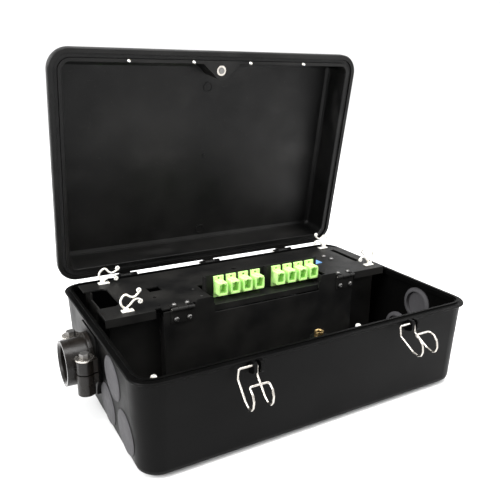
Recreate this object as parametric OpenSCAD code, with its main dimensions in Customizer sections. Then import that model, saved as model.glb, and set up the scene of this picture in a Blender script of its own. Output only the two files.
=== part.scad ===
// Fibre termination box: a drafted plastic tub with a hinged lid, two wire bail latches, a clamped
// cable port, rubber entry grommets, and a steel chassis whose top plate swings up on two leaf hinges.
// Units are millimetres. +X runs along the box, +Y points to the lid hinge and +Z is up.
// The origin is the centre of the underside, on the plane the box stands on.

/* [Tub] */
// length over the tub's rim
rim_l = 342; // [300:1:400]
// width over the tub's rim
rim_w = 232; // [200:1:280]
// height of the rim's top face above the ground
base_h = 87; // [70:1:120]
// radius of the rim's corners
rim_r = 20; // [12:1:30]
// height of the bead round the outside of the rim
rim_t = 2.6; // [2:0.1:8]
// how far the bead stands out past the wall below it
rim_over = 1.6; // [1:0.1:6]
// width of the rim's flat top
rim_band = 8.3; // [6:0.1:12]
// thickness of the rim where it turns in over the cavity
rim_lip = 5; // [3:0.5:10]
// how much the walls lean in from the bead down to the rounded bottom edge
wall_lean = 3.7; // [0:0.1:8]
// thickness of the moulded walls and floor
wall_t = 3; // [2:0.1:5]
// height of the feet
foot_h = 3; // [1:0.5:6]
// radius of a foot
foot_r = 5; // [3:0.5:10]
// foot distance from the centre along X
foot_x = 128; // [80:1:150]
// foot distance from the centre along Y
foot_y = 88; // [50:1:100]

/* [Lid] */
// how far the lid is swung open in the drawn pose, in degrees
lid_open = 80.3; // [0:0.1:95]
// gap between the closed lid and the tub's rim
lid_gap = 0.3; // [0.3:0.1:1]
// height of the lid's rim flange
lid_rim_t = 7.7; // [4:0.1:12]
// how far the lid's rim stands out past the tub's
lid_over = 0.7; // [0:0.1:2]
// inside depth of the lid
lid_depth = 29.7; // [15:0.1:60]
// how much the lid's inner walls lean in down to its floor
lid_lean = 3.2; // [0:0.1:8]
// width of the lid's rim between its outer edge and its opening
lid_band = 11.8; // [8:0.1:16]
// hinge axis position along Y
hinge_y = 119.6; // [118:0.1:130]
// hinge axis height
hinge_z = 85; // [80:0.5:90]
// outside radius of a hinge knuckle
knuckle_r = 3.2; // [3:0.1:6]
// distance between neighbouring hinges
hinge_pitch = 101; // [60:1:130]
// half width of a lid knuckle
knuckle_half = 6; // [4:0.5:10]
// radius of a hinge pin
hinge_pin_r = 1.5; // [1:0.1:3]
// distance of the lock bolt from the middle plane along Y
bolt_y = 98; // [90:1:104]
// radius of the lock bolt's shank
bolt_r = 3; // [2:0.1:5]

/* [Latches] */
// distance of each latch from the middle along X
latch_x = 82; // [50:1:130]
// radius of the latch wire
wire_r = 0.9; // [0.8:0.1:2.5]
// half distance between the two legs of a bail
leg_half = 8.5; // [6:0.5:14]
// thickness of each of the two ribs that make a bail's lug
lug_rib = 3; // [2:0.5:6]
// bail axis distance from the middle plane along Y
bail_y = 119.5; // [118:0.5:126]
// bail axis height
bail_z = 84; // [78:0.5:88]
// how much further out the right bail hangs, in degrees
right_swing = 19; // [0:1:60]

/* [Cable port and grommets] */
// port axis position along Y
port_y = 11; // [-30:1:60]
// port axis height
port_z = 53.5; // [30:0.5:65]
// outside radius of the port tube
port_r = 20.5; // [12:0.5:30]
// inside radius of the port tube
port_bore = 16; // [8:0.5:26]
// distance of the port's open end from the middle
port_end = 195; // [180:1:240]
// distance of a clamp bolt from the port axis
clamp_bolt = 24.8; // [20:0.1:40]
// clamp centre distance from the middle
clamp_x = 181; // [175:0.5:220]
// radius of a grommet's outer disc
grommet_r = 19; // [8:0.5:22]
// radius of the hole a grommet sits in
grommet_hole = 16; // [6:0.5:18]

/* [Chassis] */
// thickness of the chassis sheet
sheet = 1.5; // [0.8:0.1:3]
// half length of the fixed frame
frame_half = 152; // [120:1:156]
// front of the recessed end walls
frame_front = 8; // [0:1:30]
// back of the fixed frame
frame_back = 92; // [70:1:100]
// height of the fixed frame's walls
frame_top = 84; // [60:1:88]
// left end of the front panel
panel_left = -105; // [-130:1:-60]
// right end of the front panel
panel_right = 113; // [60:1:130]
// front face of the front panel
panel_y = -4; // [-10:0.5:10]

/* [Swing plate] */
// half length of the swing plate
plate_half = 158; // [120:1:158]
// front edge of the swing plate
plate_front = -2.5; // [-6:0.5:6]
// back edge of the swing plate
plate_back = 94; // [60:1:100]
// underside height of the swing plate
plate_z = 90.5; // [86:0.5:94]
// leaf hinge axis position along Y
leaf_y = -6; // [-12:0.5:0]
// leaf hinge axis height
leaf_z = 91; // [86:0.5:96]
// width of a leaf hinge
leaf_w = 22; // [14:1:40]
// centre of the left leaf hinge
leaf_left = -87; // [-110:1:-40]
// centre of the right leaf hinge
leaf_right = 102; // [40:1:104]

/* [Adapters] */
// centre of the first adapter in the left group
group_a = -36; // [-60:0.5:0]
// centre of the first adapter in the right group
group_b = 31.5; // [10:0.5:60]
// distance between neighbouring adapters
adapter_pitch = 14; // [12.7:0.1:20]
// width of an adapter body
adapter_w = 9.3; // [8:0.1:14]
// height of an adapter body
adapter_h = 12.8; // [10:0.1:16]
// height of an adapter's centre
adapter_z = 93.7; // [86:0.1:100]
// front face of the wall that holds the adapters
adapter_wall = 24.6; // [15:0.1:40]

/* [Hidden] */
$fn = 64;
wall_foot = foot_h + 5;
wall_top = base_h - rim_t;
lean_angle = atan(wall_lean / (wall_top - wall_foot));
corner_x = rim_l / 2 - rim_r;
corner_y = rim_w / 2 - rim_r;
// the walls' corners are rounder than the rim's, about centres this much further in
wall_inset = 4;
wall_r = rim_r + wall_inset - rim_over;
floor_z = foot_h + wall_t;
lid_low = base_h + lid_gap;
lid_high = lid_low + lid_depth + wall_t;
plate_top = plate_z + sheet;
foot_places = [[0, 0], [foot_x, foot_y], [-foot_x, foot_y], [foot_x, -foot_y], [-foot_x, -foot_y]];
hinge_places = [-hinge_pitch, 0, hinge_pitch];
grommet_places = [[-51, 63], [-27, 26.3], [-74.5, 26.3]];
post_places = [[-120, -11], [120, -11]];
frame_screw_places = [[-120, 22], [120, 22], [-120, 80], [120, 80]];
panel_screw_places = [[-60, 6], [70, 6]];
leaf_places = [leaf_left, leaf_right];
// distance of the upper leaf's screws behind the leaf hinge axis
leaf_hole = 5.8;
// X, Y, the way the mouth faces, and how far the clip is bent over
clip_places = [[-134, 88, 1, 16], [-135, 8, 1, 0], [139, 86, -1, 0], [146, 9, -1, 0]];
bracket_left = -52.6;
bracket_right = 84;
bracket_floor = 80.2;
bracket_front = -2.1;
// screws that hold the bracket's feet: on the left from below, on the right from above
foot_screws_low = [[-60, 12], [-60, 32]];
foot_screws_high = [[119.4, 57.8], [121.4, 45.9]];
tray_z = [16, 28.1];
stud_places = [-88, 88];
// side view of a bail's leg, from its axis to the crossbar that hooks the lid, as Y and Z offsets
leg_path = [[0, 0], [1.3, -9], [-11, -22], [-16.5, -25.2], [-20.5, -24.6], [-23.2, -21], [-24, -15.5], [-22, -10.5], [-16.5, -7]];

// side view of a cable clip's two arms from the foot to the ball, as X and Z
clip_upper = [[-1.5, 3], [-5, 6], [-6, 11], [-3.5, 15.2], [-0.5, 16], [3, 13.6], [6.5, 12.8], [9.6, 14.8], [11.2, 18.4]];
clip_lower = [[-1.5, 3], [6.6, 10], [10, 10.4], [12.2, 7.6]];
clip_wire_r = 1;
clip_ball_r = 2.6;

black_plastic = [0.06, 0.06, 0.065];
steel_black = [0.1, 0.1, 0.11];
zinc = [0.72, 0.73, 0.75];
stainless = [0.78, 0.78, 0.79];
rubber_grey = [0.45, 0.47, 0.49];
green = [0.1, 0.5, 0.22];
nylon = [0.92, 0.91, 0.86];
brass = [0.78, 0.62, 0.32];

// ---------------------------------------------------------------- shared shapes

// a rounded box whose walls lean: corner radius r_low at z_low grows to r_high at z_high,
// about corner centres that stand further in by inset
module drafted(r_low, z_low, r_high, z_high, inset = 0) {
    cx = corner_x - inset;
    cy = corner_y - inset;
    for (sx = [-1, 1], sy = [-1, 1])
        translate([sx * cx, sy * cy, z_low])
            cylinder(h = z_high - z_low, r1 = r_low, r2 = r_high);
    rotate([90, 0, 0])
        linear_extrude(2 * cy, center = true)
            lean_profile(cx, r_low, z_low, r_high, z_high);
    rotate([90, 0, 90])
        linear_extrude(2 * cx, center = true)
            lean_profile(cy, r_low, z_low, r_high, z_high);
}

// a stack of drafted slabs through a list of [corner radius, height] steps
module stepped(steps, inset = 0) {
    for (i = [0:len(steps) - 2])
        drafted(steps[i][0], steps[i][1], steps[i + 1][0], steps[i + 1][1], inset);
}

// the end view of one pair of leaning walls
module lean_profile(half, r_low, z_low, r_high, z_high) {
    polygon([
        [-half - r_low, z_low], [half + r_low, z_low],
        [half + r_high, z_high], [-half - r_high, z_high]
    ]);
}

// a rounded flat slab between two heights, centred on x and y
module slab(l, w, r, z_low, z_high) {
    for (sx = [-1, 1], sy = [-1, 1])
        translate([sx * (l / 2 - r), sy * (w / 2 - r), z_low])
            cylinder(h = z_high - z_low, r = r);
    translate([-l / 2 + r, -w / 2, z_low])
        cube([l - 2 * r, w, z_high - z_low]);
    translate([-l / 2, -w / 2 + r, z_low])
        cube([l, w - 2 * r, z_high - z_low]);
}

// a box given by its two corners
module span(low, high) {
    translate(low)
        cube(high - low);
}

// a round rod from p to q
module rod(p, q, r) {
    d = q - p;
    translate(p)
        rotate([0, acos(d[2] / norm(d)), atan2(d[1], d[0])])
            cylinder(h = norm(d), r = r, $fn = 32);
}

// lies along X, centred on x
module along_x(x, y, z, length, r) {
    translate([x - length / 2, y, z])
        rotate([0, 90, 0])
            cylinder(h = length, r = r, $fn = 48);
}

// a profile drawn as Y and Z, pushed along X between two values
module profile_x(x_low, x_high) {
    translate([x_low, 0, 0])
        rotate([90, 0, 90])
            linear_extrude(x_high - x_low)
                children();
}

// a pan head screw standing on z, its shank going down by depth
module pan_screw(z, head_r, shank_r, depth) {
    translate([0, 0, z - depth])
        cylinder(h = depth + 0.5, r = shank_r, $fn = 32);
    difference() {
        union() {
            translate([0, 0, z])
                cylinder(h = 1, r = head_r, $fn = 32);
            translate([0, 0, z + 1])
                cylinder(h = 0.9, r1 = head_r, r2 = head_r * 0.6, $fn = 32);
        }
        for (turn = [0, 90])
            rotate([0, 0, turn])
                translate([-head_r * 0.55, -head_r * 0.11, z + 0.9])
                    cube([head_r * 1.1, head_r * 0.22, 2]);
    }
}

// moves children onto the outside of an end wall, with their +Z pointing out
module on_end_wall(side, y, z) {
    wall_x = corner_x - wall_inset + wall_r - wall_lean * (wall_top - z) / (wall_top - wall_foot);
    translate([side * wall_x, y, z])
        rotate([0, side * (90 + lean_angle), 0])
            children();
}

// swings the closed lid's pieces open about the lid hinge
module opened() {
    translate([0, hinge_y, hinge_z])
        rotate([-lid_open, 0, 0])
            translate([0, -hinge_y, -hinge_z])
                children();
}

// ---------------------------------------------------------------- tub

module base_tub() {
    foot_r_out = wall_r - wall_lean;
    color(black_plastic)
        difference() {
            union() {
                stepped([[foot_r_out - 3.1, foot_h], [foot_r_out - 0.9, foot_h + 2], [foot_r_out, wall_foot],
                    [wall_r, wall_top + 0.1]], wall_inset);
                stepped([[rim_r - 0.8, wall_top], [rim_r, wall_top + 0.8], [rim_r, base_h - 0.8],
                    [rim_r - 0.8, base_h]]);
                difference() {
                    drafted(rim_r - 5, base_h - 1, rim_r - 5, base_h + 1.4);
                    drafted(rim_r - 7, base_h - 2, rim_r - 7, base_h + 2);
                }
                port_pad();
                for (x = hinge_places, side = [-1, 1])
                    tub_knuckle(x + side * (knuckle_half + 3.4));
                for (side = [-1, 1])
                    latch_lug(side * latch_x);
            }
            drafted(rim_r - rim_band, base_h - rim_lip - 0.1, rim_r - rim_band, base_h + 3);
            difference() {
                stepped([[foot_r_out - wall_t - 2, floor_z], [foot_r_out - wall_t, floor_z + 3],
                    [wall_r - wall_t, base_h - rim_lip]], wall_inset);
                insert_gusset();
                for (p = post_places)
                    translate([p[0], p[1], foot_h + 1])
                        cylinder(h = 24, r = 4.5);
                for (p = frame_screw_places)
                    translate([p[0], p[1], foot_h + 1])
                        cylinder(h = floor_z - foot_h + 2, r = 6);
            }
            translate([0, -bolt_y, base_h - 10])
                cylinder(h = 20, r = 4);
            for (p = frame_screw_places)
                translate([p[0], p[1], foot_h + 2])
                    cylinder(h = 10, r = 2.1, $fn = 32);
            for (x = hinge_places)
                along_x(x, hinge_y, hinge_z, 40, hinge_pin_r + 0.05);
            for (side = [-1, 1])
                along_x(side * latch_x, -bail_y, bail_z, 2 * leg_half, wire_r + 0.05);
            translate([-corner_x - rim_r - 3, port_y, port_z])
                rotate([0, 90, 0])
                    cylinder(h = 30, r = 18.2);
            for (side = [-1, 1], g = grommet_places)
                on_end_wall(side, g[0], g[1])
                    translate([0, 0, -20])
                        cylinder(h = 40, r = grommet_hole);
        }
}

// raised pad on the left wall that the port tube stands on
module port_pad() {
    depth = 8;
    difference() {
        translate([-rim_l / 2, port_y, port_z + 0.5])
            rotate([0, 90, 0])
                slab(56, 50, 5, 0, depth);
        // room for the grommets' discs
        for (g = grommet_places)
            translate([-rim_l / 2 - 1, g[0], g[1]])
                rotate([0, 90, 0])
                    cylinder(h = depth + 2, r = grommet_r + 0.5);
    }
}

// one of the tub's hinge knuckles, centred on x
module tub_knuckle(x) {
    along_x(x, hinge_y, hinge_z, 6, knuckle_r);
    profile_x(x - 3, x + 3)
        polygon([
            [rim_w / 2 - 4, hinge_z - 12], [hinge_y + 0.5, hinge_z - knuckle_r + 0.1],
            [hinge_y, hinge_z], [rim_w / 2 - 4, hinge_z]
        ]);
}

// lug on the front wall that a bail turns in: two ribs, one on each side of the bail's right leg
module latch_lug(x) {
    for (rib = [x + leg_half - 1.6 - lug_rib, x + leg_half + 1.6])
        profile_x(rib, rib + lug_rib)
            polygon([
                [-bail_y - 2.6, bail_z + 1.4], [-bail_y - 1.2, bail_z + 2.6], [-rim_w / 2 + 4, bail_z + 2.6],
                [-rim_w / 2 + 4, bail_z - 9.5], [-bail_y - 1.6, bail_z - 7], [-bail_y - 2.6, bail_z - 5.5]
            ]);
    profile_x(x + leg_half - 1.6 - lug_rib, x + leg_half + 1.6 + lug_rib)
        polygon([
            [-rim_w / 2 - 0.6, bail_z + 2.6], [-rim_w / 2 + 4, bail_z + 2.6],
            [-rim_w / 2 + 4, bail_z - 9.5], [-rim_w / 2 - 0.6, bail_z - 8.4]
        ]);
}

// gusset inside the front rim that holds the threaded insert
module insert_gusset() {
    translate([0, -bolt_y, base_h - 14])
        cylinder(h = 14, r = 7.5);
    translate([0, 0, base_h - 14])
        linear_extrude(14)
            polygon([
                [-24, -rim_w / 2 + 3], [24, -rim_w / 2 + 3],
                [6.5, -bolt_y + 3.8], [-6.5, -bolt_y + 3.8]
            ]);
}

module base_feet() {
    color(black_plastic)
        for (p = foot_places)
            translate([p[0], p[1], 0])
                cylinder(h = foot_h, r = foot_r);
}

module brass_insert() {
    color(brass)
        translate([0, -bolt_y, base_h - 9.9])
            difference() {
                union() {
                    cylinder(h = 9.9, r = 3.95);
                    for (z = [1.5, 4.5, 7.5])
                        translate([0, 0, z])
                            cylinder(h = 1, r = 3.98);
                }
                translate([0, 0, -1])
                    cylinder(h = 12, r = 2.55);
                translate([0, 0, 9.2])
                    cylinder(h = 1, r1 = 2.5, r2 = 3.4);
            }
}

module hinge_pins() {
    color(stainless)
        for (x = hinge_places)
            along_x(x, hinge_y, hinge_z, 2 * knuckle_half + 13, hinge_pin_r);
}

module post_caps() {
    color(nylon)
        for (p = post_places)
            translate([p[0], p[1], foot_h + 25.1])
                rotate_extrude()
                    polygon([[0, 0], [2.8, 0], [3.2, 0.5], [3.2, 3.2], [2.4, 4.4], [1.1, 4.4], [1, 3.6], [0, 3.6]]);
}

// ---------------------------------------------------------------- latches

// a bail, turned about its own axis by swing
module bail(x, swing) {
    color(stainless)
        translate([x, -bail_y, bail_z])
            rotate([swing, 0, 0]) {
                for (side = [-1, 1]) {
                    for (i = [0:len(leg_path) - 2])
                        rod(leg_point(side, i), leg_point(side, i + 1), wire_r);
                    for (i = [0:len(leg_path) - 1])
                        translate(leg_point(side, i))
                            sphere(r = wire_r + 0.05, $fn = 32);
                }
                rod(leg_point(-1, 0), leg_point(1, 0), wire_r);
                rod(leg_point(-1, len(leg_path) - 1), leg_point(1, len(leg_path) - 1), wire_r);
            }
}

function leg_point(side, i) = [side * leg_half, leg_path[i][0], leg_path[i][1]];

// ---------------------------------------------------------------- lid

module lid_shell() {
    open_r = rim_r - lid_band;
    lip_r = rim_r + lid_over;
    top_r = open_r + wall_t - lid_lean;
    inside = lid_low + lid_depth;
    color(black_plastic)
        opened()
            difference() {
                union() {
                    stepped([[lip_r - 0.9, lid_low], [lip_r, lid_low + 0.9], [lip_r, lid_low + lid_rim_t - 0.9],
                        [lip_r - 0.9, lid_low + lid_rim_t]]);
                    stepped([[rim_r - 5, lid_low + lid_rim_t - 0.1], [top_r, lid_high - 3], [top_r - 0.9, lid_high - 0.9],
                        [top_r - 3, lid_high]]);
                    for (x = hinge_places)
                        lid_knuckle(x);
                    for (side = [-1, 1])
                        lid_catch(side * latch_x);
                    translate([0, -bolt_y, lid_low])
                        cylinder(h = lid_depth + wall_t + 2, r = 9);
                }
                difference() {
                    stepped([[open_r + 1, lid_low - 1], [open_r, lid_low + 0.8], [open_r - lid_lean + 0.4, inside - 4],
                        [open_r - lid_lean - 0.7, inside - 1.3], [open_r - lid_lean - 3.8, inside]]);
                    lid_gusset();
                    lid_marks();
                }
                difference() {
                    drafted(rim_r - 4, lid_low - 1, rim_r - 4, lid_low + 4.2);
                    drafted(rim_r - 8.2, lid_low - 2, rim_r - 8.2, lid_low + 5);
                }
                for (x = hinge_places)
                    along_x(x, hinge_y, hinge_z, 40, hinge_pin_r + 0.05);
                translate([0, -bolt_y, lid_low - 1])
                    cylinder(h = lid_depth + wall_t + 5, r = bolt_r + 0.05);
                translate([0, -bolt_y, lid_low - 1])
                    cylinder(h = 5, r = 5.6);
            }
}

// the lid's gusset around the lock bolt, in the closed position
module lid_gusset() {
    translate([0, -bolt_y, lid_low])
        cylinder(h = lid_depth + 1, r = 9);
    translate([0, 0, lid_low])
        linear_extrude(lid_depth + 1)
            polygon([
                [-25, -rim_w / 2 + 8], [25, -rim_w / 2 + 8],
                [7.5, -bolt_y + 5], [-7.5, -bolt_y + 5]
            ]);
}

// rings and a dot standing on the inside of the lid
module lid_marks() {
    for (y = [-76, 90])
        translate([0, y, lid_low + lid_depth - 0.6])
            difference() {
                cylinder(h = 2, r = 5.5);
                translate([0, 0, -1])
                    cylinder(h = 4, r = 4);
            }
    translate([0, 0, lid_low + lid_depth - 0.8])
        cylinder(h = 2, r = 2);
}

// the lid's half of one hinge
module lid_knuckle(x) {
    along_x(x, hinge_y, hinge_z, 2 * knuckle_half, knuckle_r);
    profile_x(x - knuckle_half, x + knuckle_half)
        polygon([
            [rim_w / 2 - 3, lid_low + 0.3], [rim_w / 2 + 1.5, lid_low + 0.3], [hinge_y, hinge_z],
            [hinge_y + 2.9, hinge_z + 1.3], [rim_w / 2 + 2, lid_low + lid_rim_t - 1],
            [rim_w / 2 - 3, lid_low + lid_rim_t - 1]
        ]);
}

// raised catch on the lid's lip that the bail's crossbar presses on
module lid_catch(x) {
    profile_x(x - 6.5, x + 6.5)
        polygon([
            [-rim_w / 2, lid_low + lid_rim_t - 1], [-rim_w / 2 + 6, lid_low + lid_rim_t - 1],
            [-rim_w / 2 + 6, base_h + 12.4], [-rim_w / 2 + 1, base_h + 12.4]
        ]);
}

module lid_gasket() {
    color([0.03, 0.03, 0.03])
        opened()
            difference() {
                drafted(rim_r - 4.2, lid_low + 1.9, rim_r - 4.2, lid_low + 4.15);
                drafted(rim_r - 8, lid_low + 1, rim_r - 8, lid_low + 5);
            }
}

module lid_pegs() {
    color(nylon)
        opened()
            for (x = [-98, -32, 32, 98])
                translate([x, -corner_y - rim_r + lid_band - 2.1, lid_low - 3])
                    cylinder(h = 3, r1 = 1, r2 = 1.3, $fn = 32);
}

module lock_bolt() {
    color(zinc)
        opened()
            translate([0, -bolt_y, 0])
                difference() {
                    union() {
                        translate([0, 0, lid_low + 0.3])
                            cylinder(h = lid_depth + wall_t + 2.3, r = bolt_r);
                        translate([0, 0, lid_high + 2.4])
                            cylinder(h = 5.5, r = 7, $fn = 6);
                        translate([0, 0, lid_high + 2.4])
                            cylinder(h = 1.2, r = 8.6);
                    }
                    translate([0, 0, lid_high + 6.4])
                        cylinder(h = 3, r = 2.9, $fn = 6);
                }
}

module lock_bolt_retainer() {
    color(stainless)
        opened()
            translate([0, -bolt_y, lid_low + 1])
                difference() {
                    cylinder(h = 1.2, r = 5.2);
                    translate([0, 0, -1])
                        cylinder(h = 4, r = bolt_r + 0.05);
                }
}

// ---------------------------------------------------------------- cable port

module along_port(x) {
    translate([x, port_y, port_z])
        rotate([0, 90, 0])
            children();
}

module port_tube() {
    pad_face = rim_l / 2;
    color(black_plastic)
        along_port(-port_end)
            difference() {
                union() {
                    cylinder(h = port_end - pad_face - 0.05, r = port_r);
                    cylinder(h = port_end - 157.5, r = 18);
                }
                translate([0, 0, -1])
                    cylinder(h = 60, r = port_bore);
                translate([0, 0, -1])
                    cylinder(h = 3, r1 = port_bore + 3, r2 = port_bore);
            }
}

module port_locknut() {
    color(black_plastic)
        along_port(-163.3)
            difference() {
                cylinder(h = 4, r = 23, $fn = 8);
                translate([0, 0, -1])
                    cylinder(h = 6, r = 18.1);
            }
}

// one half of the split clamp; up is 1 for the upper half and -1 for the lower
module clamp_half(up) {
    color(black_plastic)
        difference() {
            intersection() {
                union() {
                    along_port(-clamp_x + 5.9)
                        cylinder(h = 3.8, r = port_r + 3.5);
                    for (side = [-1, 1]) {
                        translate([-clamp_x, port_y + side * clamp_bolt, port_z - 19.5])
                            cylinder(h = 32, r = 7.6);
                        span([-clamp_x - 6, port_y + min(side * 15, side * (clamp_bolt + 5)), port_z - 9],
                            [-clamp_x + 9.7, port_y + max(side * 15, side * (clamp_bolt + 5)), port_z + 12.5]);
                    }
                }
                span([-port_end, port_y - 40, port_z + (up > 0 ? 0.6 : -40)],
                    [-corner_x, port_y + 40, port_z + (up > 0 ? 40 : -0.6)]);
            }
            along_port(-port_end - 1)
                cylinder(h = 40, r = port_r + 0.05);
            for (side = [-1, 1])
                translate([-clamp_x, port_y + side * clamp_bolt, port_z - 20]) {
                    cylinder(h = 40, r = 2.6);
                    // pocket that holds the nut
                    cylinder(h = 6, r = 5.2);
                }
        }
}

module at_clamp_bolts(z) {
    for (side = [-1, 1])
        translate([-clamp_x, port_y + side * clamp_bolt, port_z + z])
            children();
}

module port_bolts() {
    color(zinc)
        at_clamp_bolts(-20)
            union() {
                cylinder(h = 34.2, r = 2.5);
                translate([0, 0, 34.15])
                    cylinder(h = 4, r = 4.4, $fn = 6);
            }
}

module port_washers() {
    color(stainless)
        at_clamp_bolts(12.55)
            difference() {
                cylinder(h = 1.5, r = 8);
                translate([0, 0, -1])
                    cylinder(h = 4, r = 2.6);
            }
}

module port_nuts() {
    color(zinc)
        at_clamp_bolts(-18.6)
            difference() {
                cylinder(h = 4.2, r = 4.6, $fn = 6);
                translate([0, 0, -1])
                    cylinder(h = 6, r = 2.55);
            }
}

// one moulded grommet, its outer face up
module grommet() {
    hole = grommet_hole - 0.15;
    back = -wall_t - 0.5;
    rotate_extrude()
        polygon([
            [0, 2.1], [grommet_r - 9, 2], [grommet_r - 4, 1.7], [grommet_r - 1.2, 1.1], [grommet_r, 0.4],
            [grommet_r, 0.1], [hole, 0.1], [hole, back], [hole + 1.7, back], [hole + 1.7, back - 1.3],
            [hole - 1.4, back - 2.8], [hole - 2.7, back - 2.8], [hole - 2.7, -2], [0, -2]
        ]);
}

module grommets(side) {
    color(rubber_grey)
        for (g = grommet_places)
            on_end_wall(side, g[0], g[1])
                grommet();
}

// ---------------------------------------------------------------- chassis

module chassis_frame() {
    low = floor_z + 3.05;
    color(steel_black)
        difference() {
            union() {
                span([-frame_half, frame_front, low], [frame_half, frame_back, low + sheet]);
                for (side = [-1, 1]) {
                    x_out = side > 0 ? frame_half - sheet : -frame_half;
                    span([x_out, frame_front, low], [x_out + sheet, frame_back, frame_top]);
                    span([x_out, frame_back - 22, low], [x_out + sheet, frame_back - 4, plate_z - 0.3]);
                }
                span([-frame_half, frame_back - sheet, low], [frame_half, frame_back, 60]);
                span([-frame_half, frame_front, low], [panel_left, frame_front + sheet, frame_top]);
                span([panel_right, frame_front, low], [frame_half, frame_front + sheet, frame_top]);
            }
            // window in the left wall that lines up with the cable port
            span([-frame_half - 1, frame_front + sheet, port_z - 18], [-frame_half + 3, 52, 78]);
            for (p = concat(frame_screw_places, panel_screw_places))
                translate([p[0], p[1], low - 1])
                    cylinder(h = 4, r = 2.15, $fn = 32);
            for (x = stud_places)
                translate([x, 50, low - 1])
                    cylinder(h = 4, r = 2.6, $fn = 32);
        }
}

module front_panel() {
    low = floor_z + 3.1 + sheet;
    top = plate_z - sheet;
    color(steel_black)
        difference() {
            union() {
                span([panel_left, panel_y, low], [panel_right, panel_y + sheet, top]);
                span([panel_left, panel_y, low], [panel_left + sheet, frame_front - 0.1, frame_top]);
                span([panel_right - sheet, panel_y, low], [panel_right, frame_front - 0.1, frame_top]);
                span([panel_left + 12, panel_y, low], [panel_right - 12, 12, low + sheet]);
                panel_tab(-73.1, -54.4);
                panel_tab(70.1, 90.4);
            }
            // lowered edge in front of the adapters
            span([-53.4, panel_y - 1, bracket_floor - 1], [69.2, panel_y + sheet + 1, top + 1]);
            for (p = panel_screw_places)
                translate([p[0], p[1], low - 1])
                    cylinder(h = 4, r = 2.15, $fn = 32);
            for (x = leaf_places, dx = [-6.5, 6.5])
                translate([x + dx, panel_y + 3, leaf_z - 10])
                    rotate([90, 0, 0])
                        cylinder(h = 6, r = 1.3, $fn = 32);
        }
}

// upright tab on the panel's top edge, its outer corners rounded
module panel_tab(x_low, x_high) {
    r = 3;
    top = plate_top + 4;
    span([x_low, panel_y, frame_top], [x_high, panel_y + sheet, top - r]);
    span([x_low + r, panel_y, frame_top], [x_high - r, panel_y + sheet, top]);
    for (x = [x_low + r, x_high - r])
        translate([x, panel_y + sheet, top - r])
            rotate([90, 0, 0])
                cylinder(h = sheet, r = r, $fn = 32);
}

module chassis_screws() {
    color(zinc)
        for (p = frame_screw_places)
            translate([p[0], p[1], 0])
                pan_screw(floor_z + 3.1 + sheet, 4, 2, 5);
}

module panel_screws() {
    color(zinc)
        for (p = panel_screw_places)
            translate([p[0], p[1], 0])
                pan_screw(floor_z + 3.15 + 2 * sheet, 3.6, 2, 3.3);
}

// ---------------------------------------------------------------- leaf hinges

module leaf_hinge_fixed() {
    color(steel_black)
        for (x = leaf_places)
            difference() {
                union() {
                    span([x - leaf_w / 2, panel_y - 1.25, leaf_z - 14], [x + leaf_w / 2, panel_y - 0.05, leaf_z - 0.5]);
                    for (dx = [-8, 8])
                        along_x(x + dx, leaf_y, leaf_z, 6, 2.1);
                }
                // room for the moving leaf's knuckle
                span([x - 5, leaf_y - 5, leaf_z - 2.8], [x + 5, leaf_y + 5, leaf_z + 5]);
                for (dx = [-6.5, 6.5])
                    translate([x + dx, panel_y + 1, leaf_z - 10])
                        rotate([90, 0, 0])
                            cylinder(h = 6, r = 1.3, $fn = 32);
                along_x(x, leaf_y, leaf_z, 40, 1.1);
            }
}

module leaf_hinge_moving() {
    color(steel_black)
        for (x = leaf_places)
            difference() {
                union() {
                    span([x - leaf_w / 2, leaf_y + 3.1, plate_top + 0.05], [x + leaf_w / 2, leaf_y + 9, plate_top + 1.05]);
                    span([x - 4.6, leaf_y, plate_top + 0.05], [x + 4.6, leaf_y + 5, plate_top + 1.05]);
                    along_x(x, leaf_y, leaf_z, 9.2, 2.1);
                }
                for (dx = [-6.5, 6.5])
                    translate([x + dx, leaf_y + leaf_hole, plate_z - 1])
                        cylinder(h = 6, r = 1.3, $fn = 32);
                along_x(x, leaf_y, leaf_z, 40, 1.1);
            }
}

module leaf_pins() {
    color(stainless)
        for (x = leaf_places)
            along_x(x, leaf_y, leaf_z, leaf_w + 1, 1.05);
}

module leaf_screws_panel() {
    color(zinc)
        for (x = leaf_places, dx = [-6.5, 6.5])
            translate([x + dx, panel_y - 1.3, leaf_z - 10])
                rotate([90, 0, 0])
                    pan_screw(0, 2.4, 1.2, 3.2);
}

module leaf_screws_plate() {
    color(zinc)
        for (x = leaf_places, dx = [-6.5, 6.5])
            translate([x + dx, leaf_y + leaf_hole, 0])
                pan_screw(plate_top + 1.1, 2.2, 1.2, 3.2);
}

// ---------------------------------------------------------------- swing plate and adapters

module swing_plate() {
    flange = plate_z - 6.5;
    color(steel_black)
        difference() {
            union() {
                translate([0, 0, plate_z])
                    linear_extrude(sheet)
                        plate_outline();
                span([-plate_half, plate_front, flange], [-112, plate_front + sheet, plate_z + 0.5]);
                span([117, plate_front, flange], [plate_half, plate_front + sheet, plate_z + 0.5]);
                span([-120, plate_back - sheet, flange], [120, plate_back, plate_z + 0.5]);
            }
            for (x = leaf_places, dx = [-6.5, 6.5])
                translate([x + dx, leaf_y + leaf_hole, plate_z - 1])
                    cylinder(h = 6, r = 1.3, $fn = 32);
            for (p = concat(foot_screws_low, foot_screws_high))
                translate([p[0], p[1], plate_z - 1])
                    cylinder(h = 6, r = 1.6, $fn = 32);
        }
}

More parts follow.
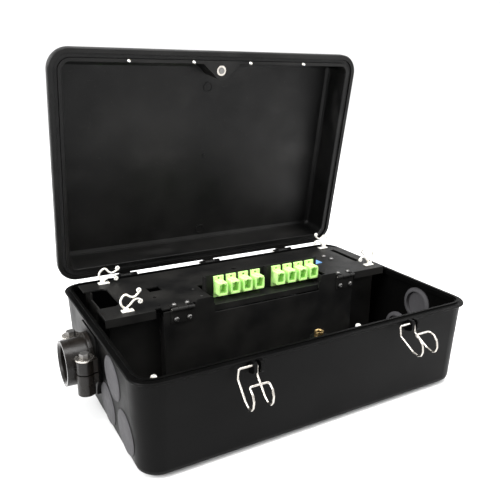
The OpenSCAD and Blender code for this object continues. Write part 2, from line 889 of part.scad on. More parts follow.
// plan view of the swing plate with its cut-outs
module plate_outline() {
    difference() {
        polygon([
            [-plate_half, plate_front], [plate_half, plate_front], [plate_half, 80], [145, plate_back],
            [-plate_half, plate_back], [-plate_half, 74], [-140, 74], [-136, 70],
            [-136, 29], [-140, 25], [-plate_half, 25]
        ]);
        // room for the adapters and their bracket
        translate([bracket_left - 0.4, plate_front - 1])
            square([bracket_right - bracket_left + 0.8, 43]);
        // notches behind the panel's tabs
        translate([-75, plate_front - 1])
            square([75, 4.5]);
        translate([68, plate_front - 1])
            square([22.6, 4.5]);
        translate([-112, plate_front - 1])
            square([6.5, 6]);
        translate([-101, 44])
            square([13, 12]);
        translate([-101.5, 29])
            circle(r = 2, $fn = 32);
        translate([141.5, 26])
            square([6, 49]);
        translate([-104.3, 9])
            circle(r = 1.3, $fn = 32);
        translate([5.5, 69])
            circle(r = 3, $fn = 32);
    }
}

// folded bracket: a shallow tray in front, an upright wall that holds the adapters,
// and a foot at each end that is screwed under the swing plate
module adapter_bracket() {
    wall_back = adapter_wall + sheet;
    foot = plate_z - 0.05;
    floor_right = bracket_right - 3.2;
    color(steel_black)
        difference() {
            union() {
                span([bracket_left, bracket_front, bracket_floor], [floor_right, wall_back, bracket_floor + sheet]);
                span([bracket_left, bracket_front, bracket_floor], [68.4, bracket_front + sheet, 86]);
                span([bracket_left, adapter_wall, bracket_floor], [floor_right, wall_back, 106.5]);
                span([floor_right - 1, adapter_wall, plate_top + 1], [bracket_right, wall_back, 106.5]);
                span([bracket_left, adapter_wall - 5, 84], [bracket_left + sheet, wall_back, 106.5]);
                span([17, adapter_wall - 5, 98], [17 + sheet, wall_back, 106.5]);
                span([bracket_left, 4, bracket_floor], [bracket_left + sheet, wall_back, foot]);
                span([floor_right - sheet, 4, bracket_floor], [floor_right, 40, foot]);
                span([bracket_left - 14, 6, foot - sheet], [bracket_left + sheet, 38, foot]);
                span([floor_right - sheet, 30, foot - sheet], [128, 64, foot]);
            }
            for (x = concat(adapter_places(group_a), adapter_places(group_b)))
                adapter_cutout(x);
            for (p = concat(foot_screws_low, foot_screws_high))
                translate([p[0], p[1], foot - 4])
                    cylinder(h = 8, r = 1.6, $fn = 32);
        }
}

function adapter_places(first) = [for (i = [0:3]) first + i * adapter_pitch];

module adapter_cutout(x) {
    span([x - adapter_w / 2 - 0.2, adapter_wall - 1, adapter_z - adapter_h / 2 - 0.2],
        [x + adapter_w / 2 + 0.2, adapter_wall + sheet + 1, adapter_z + adapter_h / 2 + 0.2]);
}

module plate_screws() {
    color(zinc) {
        for (p = foot_screws_high)
            translate([p[0], p[1], 0])
                pan_screw(plate_top + 0.05, 2.6, 1.5, 3.6);
        for (p = foot_screws_low)
            translate([p[0], p[1], plate_z + plate_top])
                mirror([0, 0, 1])
                    pan_screw(plate_top + sheet + 0.1, 2.6, 1.5, 3);
    }
}

// one angled-contact SC adapter centred on x
module adapter(x) {
    w = adapter_w / 2;
    h = adapter_h / 2;
    translate([x, 0, adapter_z])
        difference() {
            union() {
                span([-w, adapter_wall - 12, -h], [w, adapter_wall + 13, h]);
                span([-w - 0.6, adapter_wall - 12, -h + 1.5], [w + 0.6, adapter_wall - 10.5, h - 1.5]);
                span([-5.4, adapter_wall - 1.7, -11], [5.4, adapter_wall - 0.1, 11]);
                span([-1.6, adapter_wall - 9, h - 0.1], [1.6, adapter_wall - 1.7, h + 0.9]);
            }
            for (z = [-8.7, 8.7])
                translate([0, adapter_wall, z])
                    rotate([90, 0, 0])
                        cylinder(h = 4, r = 1.15, $fn = 32);
            // square sockets front and back, with the ferrule sleeve left standing in the middle
            difference() {
                span([-3.7, adapter_wall - 13, -4.6], [3.7, adapter_wall + 14, 4.6]);
                span([-5, adapter_wall - 1.5, -6], [5, adapter_wall + 1.5, 6]);
                translate([0, adapter_wall + 6, 0])
                    rotate([90, 0, 0])
                        cylinder(h = 12, r = 1.9, $fn = 32);
            }
            span([-1.4, adapter_wall - 13, 4.5], [1.4, adapter_wall - 6, h - 0.8]);
        }
}

module adapters(first) {
    color(green)
        for (x = adapter_places(first))
            adapter(x);
}

// one nylon cable clip at the origin, its mouth facing +X and up, bent over by bend degrees
module cable_clip(bend) {
    neck = 3;
    span([-5.5, -3, 0], [5.5, 3, 1.3]);
    span([-3.2, -2.2, 1.2], [0.8, 2.2, neck + 0.6]);
    translate([-1.5, 0, neck])
        rotate([0, bend, 0])
            translate([1.5, 0, -neck])
                for (path = [clip_upper, clip_lower])
                    clip_arm(path);
}

// one arm of a clip: a square wire bent along a path, with a ball at its end
module clip_arm(path) {
    last = len(path) - 1;
    left = [for (i = [0:last]) path[i] + clip_wire_r * mitre(path, i)];
    right = [for (i = [last:-1:0]) path[i] - clip_wire_r * mitre(path, i)];
    rotate([90, 0, 0])
        linear_extrude(2 * clip_wire_r, center = true)
            polygon(concat(left, right));
    translate([path[last][0], 0, path[last][1]])
        sphere(r = clip_ball_r, $fn = 24);
}

// unit vector square to the line from a to b, on its left
function side_of(a, b) = let (d = b - a) [-d[1], d[0]] / norm(d);

// offset of point i that keeps an even width on both sides of a bent path
function mitre(path, i) =
    let (last = len(path) - 1,
         before = side_of(path[max(i - 1, 0)], path[max(i, 1)]),
         after = side_of(path[min(i, last - 1)], path[min(i + 1, last)]))
    (before + after) / (1 + before * after);

module cable_clips() {
    color(nylon)
        for (p = clip_places)
            translate([p[0], p[1], plate_top + 0.05])
                mirror([p[2] < 0 ? 1 : 0, 0, 0])
                    cable_clip(p[3]);
}

module corner_tag() {
    color([0.15, 0.35, 0.75])
        translate([89, 37.5, plate_top + 0.05])
            linear_extrude(0.8)
                polygon([[0, 0], [14.7, 1.9], [13.7, 15.7]]);
}

// ---------------------------------------------------------------- splice trays

module tray_studs() {
    color(zinc)
        for (x = stud_places)
            translate([x, 50, floor_z + 3.1]) {
                cylinder(h = 39, r = 2.5, $fn = 32);
                translate([0, 0, sheet])
                    cylinder(h = tray_z[0] - floor_z - 3.15 - sheet, r = 5);
            }
}

// a splice tray standing on z: a shallow rounded dish with two fibre drums
module splice_tray(z) {
    color([0.16, 0.16, 0.17])
        translate([0, 50, 0])
            difference() {
                union() {
                    difference() {
                        slab(196, 72, 14, z, z + 12);
                        slab(192, 68, 12, z + 2, z + 13);
                    }
                    for (side = [-1, 1]) {
                        translate([side * 66, 0, z + 1])
                            cylinder(h = 9, r = 15);
                        translate([side * 88, 0, z + 1])
                            cylinder(h = 11, r = 4.5);
                    }
                }
                for (side = [-1, 1]) {
                    translate([side * 66, 0, z + 2])
                        cylinder(h = 12, r = 13);
                    translate([side * 88, 0, z - 1])
                        cylinder(h = 15, r = 2.6);
                }
            }
}

module splice_combs() {
    color([0.55, 0.57, 0.6])
        for (z = tray_z)
            translate([0, 50, z + 2.05])
                difference() {
                    span([-30, -28, 0], [30, 28, 6]);
                    for (i = [0:5])
                        span([-31, -24 + i * 8.8, 2], [31, -19.6 + i * 8.8, 7]);
                }
}

module tray_cover() {
    color([0.8, 0.82, 0.85])
        translate([0, 50, 0])
            difference() {
                slab(196, 72, 14, tray_z[1] + 12.05, tray_z[1] + 13.55);
                for (side = [-1, 1])
                    translate([side * 88, 0, tray_z[1]])
                        cylinder(h = 20, r = 2.6);
            }
}

module tray_nuts() {
    color(nylon)
        for (x = stud_places)
            translate([x, 50, tray_z[1] + 13.6])
                difference() {
                    union() {
                        cylinder(h = 5, r = 4.6, $fn = 6);
                        cylinder(h = 1.2, r = 5.6);
                    }
                    translate([0, 0, -1])
                        cylinder(h = 8, r = 2.55, $fn = 32);
                }
}

// ---------------------------------------------------------------- what is drawn

base_tub();
base_feet();
brass_insert();
hinge_pins();
bail(-latch_x, 0);  // latch_bail_left
bail(latch_x, -right_swing);  // latch_bail_right
lid_shell();
lid_gasket();
lid_pegs();
lock_bolt();
lock_bolt_retainer();
port_tube();
port_locknut();
clamp_half(1);  // port_clamp_upper
clamp_half(-1);  // port_clamp_lower
port_bolts();
port_washers();
port_nuts();
grommets(-1);  // grommets_left
grommets(1);  // grommets_right
post_caps();
chassis_frame();
front_panel();
chassis_screws();
panel_screws();
leaf_hinge_fixed();
leaf_hinge_moving();
leaf_pins();
leaf_screws_panel();
leaf_screws_plate();
swing_plate();
adapter_bracket();
plate_screws();
adapters(group_a);  // adapters_left
adapters(group_b);  // adapters_right
cable_clips();
corner_tag();
tray_studs();
splice_tray(tray_z[0]);  // splice_tray_lower
splice_tray(tray_z[1]);  // splice_tray_upper
splice_combs();
tray_cover();
tray_nuts();
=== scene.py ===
import math

import bmesh
import bpy
from mathutils import Matrix, Vector


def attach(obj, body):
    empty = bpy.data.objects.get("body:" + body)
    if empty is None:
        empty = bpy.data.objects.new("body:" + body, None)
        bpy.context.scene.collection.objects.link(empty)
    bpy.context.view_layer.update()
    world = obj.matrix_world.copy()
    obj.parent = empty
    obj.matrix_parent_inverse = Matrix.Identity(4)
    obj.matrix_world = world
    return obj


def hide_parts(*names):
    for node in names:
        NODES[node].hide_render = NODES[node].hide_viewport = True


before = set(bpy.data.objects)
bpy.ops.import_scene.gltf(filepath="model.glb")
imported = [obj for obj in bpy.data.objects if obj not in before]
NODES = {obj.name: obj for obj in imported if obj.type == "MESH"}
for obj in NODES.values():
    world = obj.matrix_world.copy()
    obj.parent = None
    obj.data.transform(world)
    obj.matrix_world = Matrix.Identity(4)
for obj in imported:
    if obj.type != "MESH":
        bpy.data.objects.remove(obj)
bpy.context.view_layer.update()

MM = 0.001


# ---------------------------------------------------------------- camera, light and floor

SENSOR_WIDTH = 36
# focal length in sensor widths
FOCAL_LENGTH = 1.1544


def add_camera():
    """The camera stands in front of the left end, above the rim, and looks slightly down."""
    place = Vector((-0.2777, -0.4631, 0.2989))
    heading, drop, roll = math.radians(29.7), math.radians(17.11), math.radians(-0.66)
    ahead = Vector((math.sin(heading) * math.cos(drop), math.cos(heading) * math.cos(drop), -math.sin(drop)))
    right = Vector((math.cos(heading), -math.sin(heading), 0))
    down = ahead.cross(right)
    turned_right = right * math.cos(roll) + down * math.sin(roll)
    turned_down = down * math.cos(roll) - right * math.sin(roll)
    data = bpy.data.cameras.new("camera")
    data.sensor_width = SENSOR_WIDTH
    data.lens = SENSOR_WIDTH * FOCAL_LENGTH
    data.clip_start = 0.01
    camera = bpy.data.objects.new("camera", data)
    bpy.context.scene.collection.objects.link(camera)
    axes = Matrix((turned_right, -turned_down, -ahead)).transposed()
    camera.matrix_world = Matrix.Translation(place) @ axes.to_4x4()
    bpy.context.scene.camera = camera


def add_area(name, place, target, size, power):
    """A soft box light at place that points to target."""
    data = bpy.data.lights.new(name, "AREA")
    data.shape = "RECTANGLE"
    data.size = size[0]
    data.size_y = size[1]
    data.energy = power
    lamp = bpy.data.objects.new(name, data)
    bpy.context.scene.collection.objects.link(lamp)
    lamp.location = place
    lamp.rotation_euler = (Vector(target) - Vector(place)).to_track_quat("-Z", "Y").to_euler()


def add_lights():
    """Soft boxes on the left, on the right and overhead, and an even pale surround."""
    middle = (0, 0, 0.1)
    add_area("softbox_left", (-1.5, -0.2, 0.9), middle, (0.7, 1.1), 34)
    add_area("softbox_right", (1.3, -0.9, 1.1), middle, (0.8, 0.8), 16)
    add_area("softbox_top", (0.0, -0.2, 1.7), middle, (1.4, 0.8), 34)
    world = bpy.data.worlds.new("studio")
    bpy.context.scene.world = world
    world.use_nodes = True
    surround = world.node_tree.nodes["Background"]
    surround.inputs["Color"].default_value = (1, 1, 1, 1)
    surround.inputs["Strength"].default_value = 1.15
    bpy.context.scene.view_settings.view_transform = "Standard"


def add_floor():
    """A pale floor that rises into a curved backdrop far behind the object."""
    half_width, front, turn, radius, top = 9.0, -5.0, 4.0, 1.5, 5.0
    profile = [(front, 0.0), (turn, 0.0)]
    steps = 16
    for i in range(1, steps + 1):
        angle = math.pi / 2 * i / steps
        profile.append((turn + radius * math.sin(angle), radius * (1 - math.cos(angle))))
    profile.append((turn + radius, top))
    mesh = bmesh.new()
    rows = [[mesh.verts.new((x, y, z)) for x in (-half_width, half_width)] for y, z in profile]
    for near, far in zip(rows, rows[1:]):
        mesh.faces.new((near[0], near[1], far[1], far[0]))
    floor = object_from("floor", mesh)
    look = Look("floor_paper", (0.93, 0.93, 0.93), 0.9, specular=0.2)
    look.tint(look.noise(6.0), (0.91, 0.91, 0.91), (0.94, 0.94, 0.94))
    look.grain(700.0, 0.00005)
    paint(floor, look)
    shade_smooth(floor)


# ---------------------------------------------------------------- finishes

class Look:
    """A Principled material and the node chains that the finishes share. Textures follow the object."""

    def __init__(self, name, color, roughness, metallic=0.0, specular=0.5):
        self.material = bpy.data.materials.new(name)
        self.material.use_nodes = True
        self.tree = self.material.node_tree
        self.shader = self.tree.nodes["Principled BSDF"]
        self.shader.inputs["Base Color"].default_value = (*color, 1)
        self.shader.inputs["Roughness"].default_value = roughness
        self.shader.inputs["Metallic"].default_value = metallic
        self.shader.inputs["Specular IOR Level"].default_value = specular
        self.place = self.tree.nodes.new("ShaderNodeTexCoord").outputs["Object"]
        self.soften(0.0004)

    def soften(self, radius):
        """Rounds the shading of sharp edges, so that they catch a thin line of light."""
        node = self.tree.nodes.new("ShaderNodeBevel")
        node.samples = 4
        node.inputs["Radius"].default_value = radius
        self.tree.links.new(node.outputs["Normal"], self.shader.inputs["Normal"])

    def stretched(self, x, y, z):
        """Coordinates scaled by a different amount along each axis."""
        node = self.tree.nodes.new("ShaderNodeMapping")
        node.inputs["Scale"].default_value = (x, y, z)
        self.tree.links.new(self.place, node.inputs["Vector"])
        return node.outputs["Vector"]

    def noise(self, scale, detail=4.0, place=None):
        """Fractal noise from 0 to 1, with scale cells to the metre."""
        node = self.tree.nodes.new("ShaderNodeTexNoise")
        node.inputs["Scale"].default_value = scale
        node.inputs["Detail"].default_value = detail
        self.tree.links.new(place or self.place, node.inputs["Vector"])
        return node.outputs["Fac"]

    def spread(self, value, low, high, to_low, to_high):
        """value, mapped from low..high to to_low..to_high."""
        node = self.tree.nodes.new("ShaderNodeMapRange")
        node.inputs["From Min"].default_value = low
        node.inputs["From Max"].default_value = high
        node.inputs["To Min"].default_value = to_low
        node.inputs["To Max"].default_value = to_high
        self.tree.links.new(value, node.inputs["Value"])
        return node.outputs["Result"]

    def between(self, factor, first, second):
        """A colour from first to second. Each is a colour or another node's output."""
        node = self.tree.nodes.new("ShaderNodeMix")
        node.data_type = "RGBA"
        for socket, color in ((node.inputs["A"], first), (node.inputs["B"], second)):
            color_socket = [s for s in node.inputs if s.name == socket.name and s.type == "RGBA"][0]
            if isinstance(color, tuple):
                color_socket.default_value = (*color, 1)
            else:
                self.tree.links.new(color, color_socket)
        self.tree.links.new(factor, node.inputs["Factor"])
        return [s for s in node.outputs if s.type == "RGBA"][0]

    def tint(self, factor, first, second):
        """Colours the surface between first and second. Returns the colour, to mix further."""
        color = self.between(factor, first, second)
        self.tree.links.new(color, self.shader.inputs["Base Color"])
        return color

    def polish(self, value, low, high):
        """Roughness from low to high as value goes from 0.3 to 0.7."""
        self.tree.links.new(self.spread(value, 0.3, 0.7, low, high), self.shader.inputs["Roughness"])

    def bump(self, height, distance):
        """Raises the surface by height times distance, on top of any earlier bump."""
        node = self.tree.nodes.new("ShaderNodeBump")
        node.inputs["Distance"].default_value = distance
        self.tree.links.new(height, node.inputs["Height"])
        earlier = self.shader.inputs["Normal"].links
        if earlier:
            self.tree.links.new(earlier[0].from_socket, node.inputs["Normal"])
        self.tree.links.new(node.outputs["Normal"], self.shader.inputs["Normal"])

    def grain(self, scale, distance):
        """Fine even texture, as from a mould or a powder coat."""
        self.bump(self.noise(scale, 2.0), distance)


def moulded_black():
    """Satin black polypropylene: cloudy sheen, a fine mould texture, faint specks of dusting and handling
    scratches.
    """
    return black_moulding("moulded_black", dust_and_painted_light=0.0045, haze_and_painted_light=0.0016, shine=0.05)


def lid_black_dusty_and_painted_light():
    """The same plastic on the lid, with its tones raised so that the whole lid is lighter: partly the dusting
    and wiping marks on the broad inner face, partly painted light for the extra light the lid catches.
    """
    # Painted light: these tones are several times the tub's, so the lid is painted lighter all over, for the
    # light its inner face catches as well as for its dusting.
    return black_moulding("lid_black_dusty_and_painted_light", dust_and_painted_light=0.028, haze_and_painted_light=0.011, shine=0.16)


def black_moulding(name, dust_and_painted_light, haze_and_painted_light, shine):
    """Black plastic with specks, wiped patches and scratches of the first tone, cloudy patches of the second
    tone and a gloss of shine. The tones are real dusting and a warm haziness, and on the lid also painted
    light.
    """
    look = Look(name, (0.0015, 0.0015, 0.0015), 0.4, specular=shine)
    cloud = look.noise(9.0, 6.0)
    clouded = look.spread(cloud, 0.4, 0.72, 0, 1)
    # The tones below are the plastic's real dusting and haziness, and on the lid also painted light that
    # makes it lighter.
    body = look.tint(clouded, (0.0014, 0.0014, 0.0014), (haze_and_painted_light, haze_and_painted_light * 0.97, haze_and_painted_light * 0.92))
    wiped = look.noise(16.0, 6.0, look.stretched(1.0, 2.6, 1.4))
    hazy_and_painted_light = look.tint(look.spread(wiped, 0.55, 0.75, 0, 0.55), body, (dust_and_painted_light * 0.7, dust_and_painted_light * 0.68, dust_and_painted_light * 0.66))
    specks = look.spread(look.noise(420.0, 6.0), 0.62, 0.8, 0, 0.4)
    dusty_and_painted_light = look.tint(specks, hazy_and_painted_light, (dust_and_painted_light, dust_and_painted_light * 0.97, dust_and_painted_light * 0.92))
    scratches = look.noise(90.0, 3.0, look.stretched(1.0, 14.0, 3.0))
    look.tint(look.spread(scratches, 0.7, 0.76, 0, 0.3), dusty_and_painted_light, (dust_and_painted_light, dust_and_painted_light, dust_and_painted_light))
    look.polish(look.noise(30.0, 6.0), 0.32, 0.48)
    look.bump(look.noise(9.0, 2.0), 0.0008)
    look.grain(2600.0, 0.00003)
    return look


def port_black():
    """Glossy black plastic pipe, slightly brown where light grazes it."""
    look = Look("port_black", (0.004, 0.0035, 0.003), 0.24, specular=0.22)
    look.tint(look.spread(look.noise(35.0), 0.35, 0.7, 0, 1), (0.003, 0.0026, 0.0022), (0.009, 0.007, 0.0055))
    look.polish(look.noise(70.0, 5.0), 0.2, 0.38)
    look.bump(look.noise(160.0, 3.0), 0.0002)
    return look


def rubber_grey():
    """Matt grey rubber with a bloom like a fine dusting."""
    look = Look("rubber_grey", (0.08, 0.08, 0.084), 0.75, specular=0.2)
    bloom = look.tint(look.noise(60.0, 6.0), (0.036, 0.035, 0.037), (0.058, 0.0565, 0.06))
    look.tint(look.spread(look.noise(500.0, 4.0), 0.6, 0.8, 0, 0.3), bloom, (0.09, 0.088, 0.093))
    look.polish(look.noise(120.0), 0.65, 0.85)
    look.grain(1800.0, 0.00008)
    return look


def gasket_rubber():
    """Dull black sponge rubber."""
    look = Look("gasket_rubber", (0.01, 0.01, 0.01), 0.85, specular=0.2)
    look.tint(look.noise(900.0, 4.0), (0.006, 0.006, 0.006), (0.022, 0.022, 0.022))
    look.polish(look.noise(300.0), 0.75, 0.95)
    look.grain(3000.0, 0.00015)
    return look


def coated_steel():
    """Steel sheet with a fine black powder coat."""
    look = Look("coated_steel", (0.006, 0.006, 0.006), 0.42, specular=0.14)
    patches = look.spread(look.noise(22.0, 4.0), 0.35, 0.7, 0, 1)
    coat = look.tint(patches, (0.005, 0.005, 0.005), (0.014, 0.0135, 0.0125))
    look.tint(look.spread(look.noise(1500.0, 3.0), 0.62, 0.75, 0, 0.4), coat, (0.035, 0.035, 0.033))
    look.polish(look.noise(45.0, 5.0), 0.36, 0.52)
    look.grain(2200.0, 0.00008)
    return look


def stainless_wire():
    """Bright drawn wire."""
    look = Look("stainless_wire", (0.44, 0.42, 0.39), 0.25, metallic=1.0)
    look.tint(look.noise(260.0, 5.0), (0.34, 0.32, 0.29), (0.54, 0.51, 0.47))
    look.polish(look.noise(500.0, 5.0), 0.18, 0.36)
    look.grain(3500.0, 0.00002)
    return look


def zinc_steel():
    """Zinc plating: pale grey metal with soft patches of different shine."""
    look = Look("zinc_steel", (0.23, 0.23, 0.23), 0.42, metallic=1.0)
    look.tint(look.noise(380.0, 5.0), (0.13, 0.13, 0.132), (0.24, 0.232, 0.22))
    look.polish(look.noise(700.0, 4.0), 0.34, 0.56)
    look.grain(2800.0, 0.00004)
    return look


def brass():
    """Turned brass, a little dull."""
    look = Look("brass", (0.62, 0.42, 0.16), 0.3, metallic=1.0)
    look.tint(look.noise(300.0, 4.0), (0.34, 0.23, 0.09), (0.52, 0.38, 0.18))
    look.polish(look.noise(600.0), 0.22, 0.45)
    return look


def nylon():
    """Natural nylon: creamy white, slightly translucent."""
    look = Look("nylon", (0.78, 0.76, 0.7), 0.38)
    look.tint(look.noise(220.0, 4.0), (0.7, 0.68, 0.62), (0.84, 0.825, 0.78))
    look.shader.inputs["Subsurface Weight"].default_value = 0.25
    look.shader.inputs["Subsurface Radius"].default_value = (0.002, 0.0018, 0.0014)
    look.polish(look.noise(350.0), 0.3, 0.46)
    look.grain(1600.0, 0.00004)
    return look


def adapter_green():
    """Glossy green plastic with a yellower cast where it is thin."""
    look = Look("adapter_green", (0.52, 0.9, 0.27), 0.3)
    look.tint(look.noise(130.0, 4.0), (0.52, 0.9, 0.26), (0.64, 0.96, 0.36))
    look.shader.inputs["Subsurface Weight"].default_value = 0.15
    look.shader.inputs["Subsurface Radius"].default_value = (0.001, 0.0025, 0.001)
    look.polish(look.noise(240.0), 0.24, 0.38)
    look.grain(1500.0, 0.00003)
    return look


def tray_plastic():
    """Dark moulded splice tray."""
    look = Look("tray_plastic", (0.02, 0.02, 0.021), 0.45, specular=0.4)
    look.tint(look.noise(40.0, 5.0), (0.015, 0.015, 0.016), (0.03, 0.03, 0.031))
    look.polish(look.noise(80.0), 0.36, 0.52)
    look.grain(1900.0, 0.00006)
    return look


def tray_clear():
    """Smoky clear acrylic lid of the splice trays."""
    look = Look("tray_clear", (0.55, 0.57, 0.6), 0.12)
    look.shader.inputs["Transmission Weight"].default_value = 0.85
    look.shader.inputs["IOR"].default_value = 1.49
    look.polish(look.noise(50.0, 5.0), 0.06, 0.2)
    return look


def comb_foam():
    """Grey foam that grips the splice sleeves."""
    look = Look("comb_foam", (0.24, 0.25, 0.27), 0.9, specular=0.2)
    look.tint(look.noise(1100.0, 3.0), (0.17, 0.18, 0.2), (0.33, 0.34, 0.36))
    look.polish(look.noise(400.0), 0.82, 0.97)
    look.grain(1300.0, 0.0003)
    return look


def tag_blue():
    """Blue plastic film."""
    look = Look("tag_blue", (0.13, 0.3, 0.6), 0.35)
    look.tint(look.noise(180.0), (0.1, 0.25, 0.52), (0.18, 0.36, 0.68))
    look.polish(look.noise(300.0), 0.28, 0.42)
    look.grain(1200.0, 0.00003)
    return look


FINISHES = {
    moulded_black: ["base_tub", "base_feet"],
    lid_black_dusty_and_painted_light: ["lid_shell"],
    port_black: ["port_tube", "port_locknut", "port_clamp_upper", "port_clamp_lower"],
    rubber_grey: ["grommets_left", "grommets_right"],
    gasket_rubber: ["lid_gasket"],
    coated_steel: [
        "chassis_frame", "front_panel", "leaf_hinge_fixed", "leaf_hinge_moving", "swing_plate",
        "adapter_bracket",
    ],
    stainless_wire: [
        "hinge_pins", "latch_bail_left", "latch_bail_right", "lock_bolt_retainer", "port_washers", "leaf_pins"
    ],
    zinc_steel: [
        "lock_bolt", "port_bolts", "port_nuts", "chassis_screws", "panel_screws", "leaf_screws_panel",
        "leaf_screws_plate", "plate_screws", "tray_studs"
    ],
    brass: ["brass_insert"],
    nylon: ["lid_pegs", "post_caps", "cable_clips", "tray_nuts"],
    adapter_green: ["adapters_left", "adapters_right"],
    tray_plastic: ["splice_tray_lower", "splice_tray_upper"],
    tray_clear: ["tray_cover"],
    comb_foam: ["splice_combs"],
    tag_blue: ["corner_tag"],
}


def paint(piece, look):
    """Gives every face of a piece one finish."""
    if not piece.material_slots:
        piece.data.materials.append(look.material)
    for material_slot in piece.material_slots:
        material_slot.link = "OBJECT"
        material_slot.material = look.material


def finish_nodes():
    """Gives each CAD node its finish. Returns the finishes by name, for the added pieces."""
    looks = {}
    for make, nodes in FINISHES.items():
        looks[make.__name__] = make()
        for node in nodes:
            paint(NODES[node], looks[make.__name__])
    return looks


# ---------------------------------------------------------------- mesh helpers

def object_from(name, mesh):
    """A Blender object from a bmesh, which is used up."""
    data = bpy.data.meshes.new(name)
    mesh.normal_update()
    mesh.to_mesh(data)
    mesh.free()
    piece = bpy.data.objects.new(name, data)
    bpy.context.scene.collection.objects.link(piece)
    return piece


def shade_smooth(piece):
    for face in piece.data.polygons:
        face.use_smooth = True


def rounded(points, radius, closed=False, steps=6):
    """The polyline through points with each corner turned into a bend of about that radius."""
    count = len(points)
    line = []
    for i, corner in enumerate(points):
        if not closed and i in (0, count - 1):
            line.append(corner)
            continue
        back = points[i - 1] - corner
        ahead = points[(i + 1) % count] - corner
        turn = math.pi - back.angle(ahead)
        reach = min(radius * math.tan(turn / 2), 0.48 * back.length, 0.48 * ahead.length)
        start = corner + back.normalized() * reach
        end = corner + ahead.normalized() * reach
        for step in range(steps + 1):
            t = step / steps
            line.append(start * (1 - t) ** 2 + corner * 2 * t * (1 - t) + end * t ** 2)
    return line


def add_tube(mesh, line, radius, closed=False, sides=16):
    """Sweeps a round wire along a line. Each ring turns from the last without twisting."""
    count = len(line)
    rings = []
    across = None
    for i, point in enumerate(line):
        before = line[i - 1] if closed or i > 0 else point
        after = line[(i + 1) % count] if closed or i < count - 1 else point
        ahead = (after - before).normalized()
        if across is None:
            across = ahead.orthogonal().normalized()
        across = (across - ahead * across.dot(ahead)).normalized()
        up = ahead.cross(across)
        rings.append([
            mesh.verts.new(point + radius * (across * math.cos(a) + up * math.sin(a)))
            for a in (2 * math.pi * k / sides for k in range(sides))
        ])
    pairs = list(zip(rings, rings[1:]))
    if closed:
        join_rings(mesh, rings[-1], rings[0], nearest_turn(rings[-1], rings[0]))
    else:
        mesh.faces.new(reversed(rings[0]))
        mesh.faces.new(rings[-1])
    for near, far in pairs:
        join_rings(mesh, near, far)


def nearest_turn(near, far):
    """How many places ring far is turned from ring near, so that a closed wire meets itself."""
    return min(range(len(far)), key=lambda k: (far[k].co - near[0].co).length)


def join_rings(mesh, near, far, turn=0):
    sides = len(near)
    for k in range(sides):
        after = (k + 1) % sides
        mesh.faces.new((near[k], near[after], far[(after + turn) % sides], far[(k + turn) % sides]))


def curved(points, steps=5):
    """A smooth line through points (a Catmull-Rom spline)."""
    line = []
    count = len(points)
    for i in range(count - 1):
        before = points[max(i - 1, 0)]
        start, end = points[i], points[i + 1]
        after = points[min(i + 2, count - 1)]
        for step in range(steps):
            t = step / steps
            line.append(0.5 * (
                2 * start + (end - before) * t
                + (2 * before - 5 * start + 4 * end - after) * t ** 2
                + (3 * start - before - 3 * end + after) * t ** 3
            ))
    line.append(points[-1])
    return line


def add_block(mesh, low, high, edge, transform):
    """A box between two corners with its edges rounded off, placed by transform."""
    made = bmesh.ops.create_cube(mesh, size=1.0)["verts"]
    for vert in made:
        vert.co = Vector([low[k] + (vert.co[k] + 0.5) * (high[k] - low[k]) for k in range(3)])
    edges = list({e for vert in made for e in vert.link_edges})
    rounded_off = bmesh.ops.bevel(mesh, geom=edges, offset=edge, segments=3, profile=0.5, affect="EDGES")
    for vert in {v for face in rounded_off["faces"] for v in face.verts}:
        vert.co = transform @ vert.co


# ---------------------------------------------------------------- bail latches

BAIL_AXIS = Vector((0, -119.5, 84)) * MM
BAIL_X = 82 * MM
LEG_HALF = 8.5 * MM
LATCH_WIRE = 0.9 * MM
# one leg of a bail from its axis to the crossbar, as Y and Z offsets in millimetres
LEG_PATH = [
    (0, 0), (1.3, -9), (-11, -22), (-16.5, -25.2), (-20.5, -24.6), (-23.2, -21), (-24, -15.5), (-22, -10.5),
    (-16.5, -7),
]


def add_bail(side, swing, node, body, look):
    """A latch wire bent into a closed loop: pivot bar, two legs with a hooked end, and a crossbar."""
    right_leg = [Vector((LEG_HALF, y * MM, z * MM)) for y, z in LEG_PATH]
    left_leg = [Vector((-LEG_HALF, y * MM, z * MM)) for y, z in reversed(LEG_PATH)]
    mesh = bmesh.new()
    add_tube(mesh, rounded(right_leg + left_leg, 2.4 * MM, closed=True), LATCH_WIRE, closed=True)
    place = Matrix.Translation(BAIL_AXIS + Vector((side * BAIL_X, 0, 0)))
    bmesh.ops.transform(mesh, matrix=place @ Matrix.Rotation(math.radians(swing), 4, "X"), verts=mesh.verts)
    piece = object_from(node + "_wire", mesh)
    shade_smooth(piece)
    paint(piece, look)
    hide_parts(node)
    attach(piece, body)


# ---------------------------------------------------------------- cable clips

# height of the clips' feet in millimetres, a hair above the swing plate
FOOT_HEIGHT = 92.05
CLIP_WIRE = 1.0 * MM
CURL_RADIUS = 1.5 * MM
NECK = Vector((-1.5, 0, 3)) * MM
# the clip's two arms from the neck to the middle of the end curl, as X and Z in millimetres
UPPER_ARM = [
    (-1.5, 3), (-5, 6), (-6, 11), (-3.5, 15.2), (-0.5, 16), (3, 13.6), (6.5, 12.8), (9.6, 14.8), (11.2, 18.4),
]
LOWER_ARM = [(-1.5, 3), (2.6, 6.3), (6.6, 10), (10, 10.4), (12.2, 7.6)]
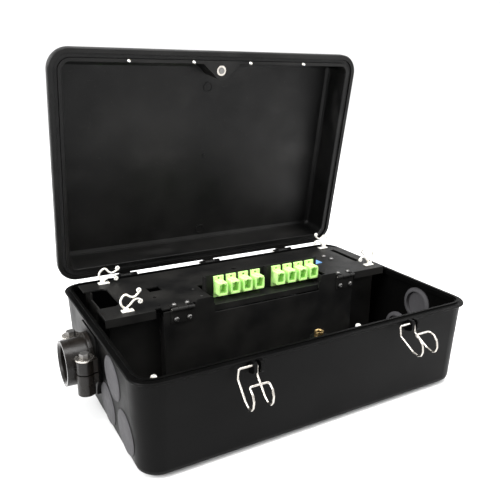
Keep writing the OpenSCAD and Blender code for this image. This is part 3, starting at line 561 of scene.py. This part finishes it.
# where each clip stands, which way its mouth faces and how far it is bent over, in millimetres and degrees
CLIPS = [(-134, 88, 1, 16), (-135, 8, 1, 0), (139, 86, -1, 0), (146, 9, -1, 0)]


def arm_line(path, curl_side):
    """An arm's centre line: along the path, then once round a curl about its last point."""
    points = [Vector((x, 0, z)) * MM for x, z in path]
    middle = points[-1]
    ahead = (middle - points[-2]).normalized()
    beside = Vector((ahead.z, 0, -ahead.x)) * curl_side
    points[-1] = middle + beside * CURL_RADIUS
    line = curved(points)
    steps = 18
    for i in range(1, steps + 1):
        angle = 2.1 * math.pi * i / steps
        shrink = 1 - 0.25 * i / steps
        line.append(middle + CURL_RADIUS * shrink * (beside * math.cos(angle) + ahead * math.sin(angle)))
    return line


def add_clips(look):
    """Nylon clips: a foot, a neck and two springy arms that end in a curl."""
    mesh = bmesh.new()
    for x, y, facing, bend in CLIPS:
        place = Matrix.Translation(Vector((x, y, FOOT_HEIGHT)) * MM) @ Matrix.Diagonal((facing, 1, 1, 1))
        add_block(mesh, Vector((-5.5, -3, 0)) * MM, Vector((5.5, 3, 1.3)) * MM, 0.4 * MM, place)
        add_block(mesh, Vector((-3.2, -2.2, 0.9)) * MM, Vector((0.8, 2.2, 3.6)) * MM, 0.8 * MM, place)
        turn = Matrix.Rotation(math.radians(bend), 4, "Y")
        bent = place @ Matrix.Translation(NECK) @ turn @ Matrix.Translation(-NECK)
        for path, curl_side in ((UPPER_ARM, 1), (LOWER_ARM, -1)):
            add_tube(mesh, [bent @ point for point in arm_line(path, curl_side)], CLIP_WIRE, sides=12)
    bmesh.ops.recalc_face_normals(mesh, faces=mesh.faces)
    piece = object_from("clip_arms", mesh)
    shade_smooth(piece)
    paint(piece, look)
    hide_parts("cable_clips")
    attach(piece, "swing_panel")


# ---------------------------------------------------------------- the scene

add_camera()
add_lights()
add_floor()
looks = finish_nodes()
add_bail(-1, 0, "latch_bail_left", "latch_left", looks["stainless_wire"])
add_bail(1, -19, "latch_bail_right", "latch_right", looks["stainless_wire"])
add_clips(looks["nylon"])
